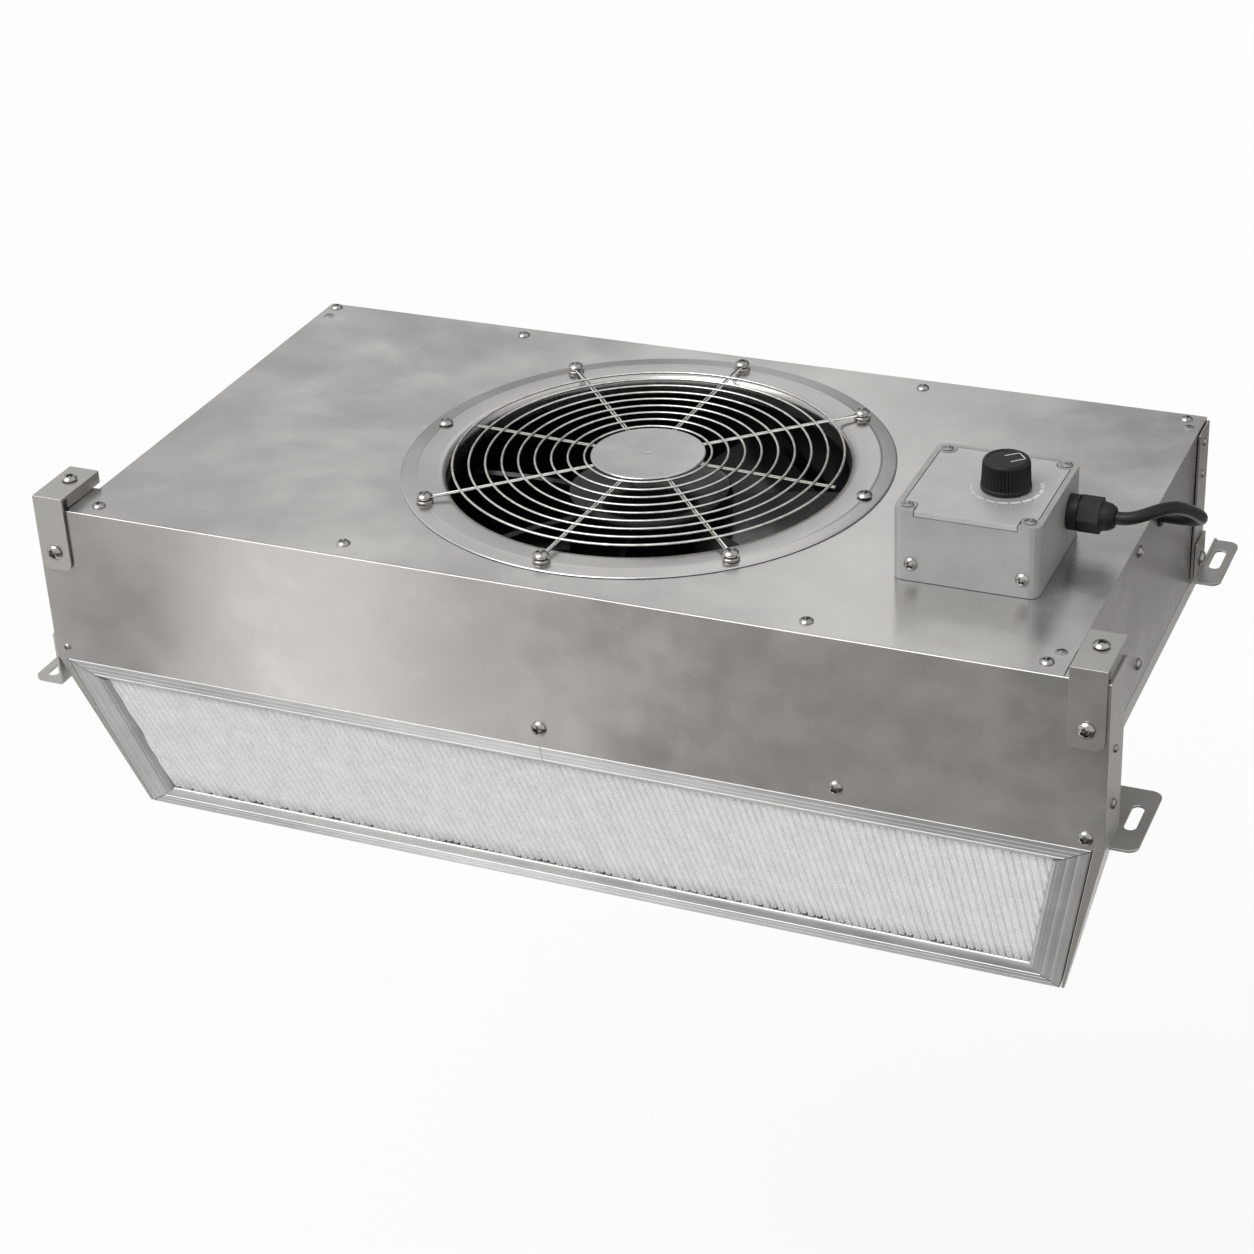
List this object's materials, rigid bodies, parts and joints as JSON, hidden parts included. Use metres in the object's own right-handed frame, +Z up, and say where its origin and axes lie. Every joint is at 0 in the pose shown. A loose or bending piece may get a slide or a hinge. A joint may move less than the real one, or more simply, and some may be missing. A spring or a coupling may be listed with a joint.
{
  "type": "fan filter unit",
  "caption": "Compact stainless fan filter unit: wire-guarded axial fan and speed dial box on top, slanted pleated filter under the front, slotted fixing brackets.",
  "frame": {"origin": "middle of the casing's width and depth at the level of its underside, which is the seat of the rear bracket plates", "axes": "+X along the width to the cable side, +Y to the back, +Z up to the fan inlet; the filter faces -Y"},
  "size_m": [0.6396, 0.3457, 0.2663],
  "materials": {
    "casing_steel": "brushed and half polished stainless sheet",
    "bright_steel": "bright plated steel",
    "aluminium": "satin anodised extrusion",
    "cast_grey": "fine matte grey blasted casting",
    "black_gloss": "smooth black plastic",
    "black_matte": "matte black plastic",
    "cable_black": "matte black cable sheath",
    "foam": "black sealing foam",
    "filter_paper": "white pleated glass fibre paper",
    "board": "green circuit board"
  },
  "bodies": {
    "casing": {"front_panel": "casing_steel", "top_panel": "casing_steel", "side_panel_left": "casing_steel", "side_panel_right": "casing_steel", "back_panel": "casing_steel", "base_pan": "casing_steel", "plenum_box": "casing_steel", "frame_end_cap_left": "casing_steel", "frame_end_cap_right": "casing_steel", "inlet_ring": "casing_steel", "hanging_bracket_left": "casing_steel", "hanging_bracket_right": "casing_steel", "front_bracket_left": "casing_steel", "front_bracket_right": "casing_steel", "rear_bracket_left": "casing_steel", "rear_bracket_right": "casing_steel", "filter_frame_top_left": "aluminium", "filter_frame_top_right": "aluminium", "filter_frame_bottom": "aluminium", "filter_frame_left": "aluminium", "filter_frame_right": "aluminium", "motor_stator": "aluminium", "potentiometer": "aluminium", "pleated_filter": "filter_paper", "filter_gasket": "foam", "fan_housing": "black_gloss", "cable_gland": "black_matte", "gland_nut": "black_matte", "link_cable": "cable_black", "cable_grommet": "cable_black", "control_box": "cast_grey", "control_box_lid": "cast_grey", "speed_control_board": "board", "finger_guard": "bright_steel", "gland_lock_nut": "bright_steel", "guard_screw_1": "bright_steel", "guard_screw_2": "bright_steel", "guard_screw_3": "bright_steel", "guard_screw_4": "bright_steel", "guard_screw_5": "bright_steel", "guard_screw_6": "bright_steel", "guard_screw_7": "bright_steel", "guard_screw_8": "bright_steel", "box_screw_1": "bright_steel", "box_screw_2": "bright_steel", "box_screw_3": "bright_steel", "box_screw_4": "bright_steel", "clip_top_screw_left": "bright_steel", "clip_top_screw_right": "bright_steel", "clip_leg_screw_left": "bright_steel", "clip_leg_screw_right": "bright_steel", "front_bracket_left_screw": "bright_steel", "front_bracket_right_screw": "bright_steel", "rear_bracket_left_screw": "bright_steel", "rear_bracket_right_screw": "bright_steel"},
    "impeller": {"impeller": "black_gloss", "motor_shaft": "bright_steel"},
    "speed_knob": {"speed_knob": "black_matte", "potentiometer_shaft": "bright_steel"}
  },
  "joints": [
    {"name": "fan_spin", "type": "hinge", "parent": "casing", "child": "impeller", "pos_m": [0, 0.0035, 0.055], "axis": [0, 0, 1], "continuous": true},
    {"name": "speed_dial_turn", "type": "hinge", "parent": "casing", "child": "speed_knob", "pos_m": [0.22, -0.044, 0.145], "axis": [0, 0, 1], "range_deg": [-150, 120]}
  ]
}
